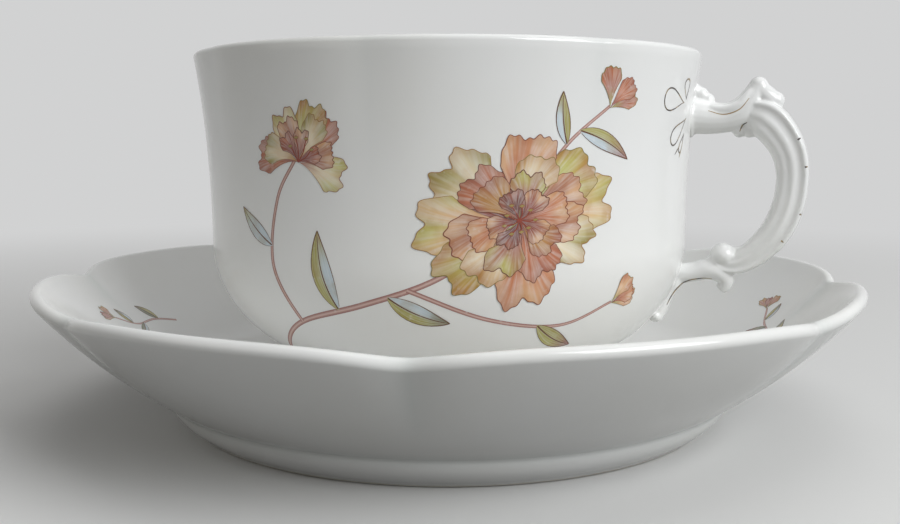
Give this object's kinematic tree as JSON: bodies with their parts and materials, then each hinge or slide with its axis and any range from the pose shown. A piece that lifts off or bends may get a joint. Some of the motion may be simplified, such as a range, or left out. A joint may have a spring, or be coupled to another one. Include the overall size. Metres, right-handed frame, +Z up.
{
  "type": "teacup with saucer",
  "caption": "White porcelain teacup with soft flutes and a moulded scroll handle, standing in the well of a deep scalloped saucer.",
  "frame": {"origin": "on the table, under the middle of the saucer", "axes": "+Z up along the axis of cup and saucer, +X towards the handle"},
  "size_m": [0.1408, 0.1408, 0.0628],
  "materials": {
    "saucer_glaze": "clear glaze over white porcelain",
    "cup_glaze": "clear glaze over white porcelain, with enamel flowers",
    "handle_glaze": "clear glaze over white porcelain, with worn gilt lines",
    "seam_glaze": "glaze over luting slip"
  },
  "bodies": {
    "saucer": {"saucer": "saucer_glaze"},
    "cup": {"cup_bowl": "cup_glaze", "cup_handle": "handle_glaze", "upper_slip_seam": "seam_glaze", "lower_slip_seam": "seam_glaze"}
  },
  "joints": [
    {"name": "cup_lift", "type": "slide", "parent": "saucer", "child": "cup", "axis": [0, 0, 1], "range_m": [0, 0.12]}
  ]
}
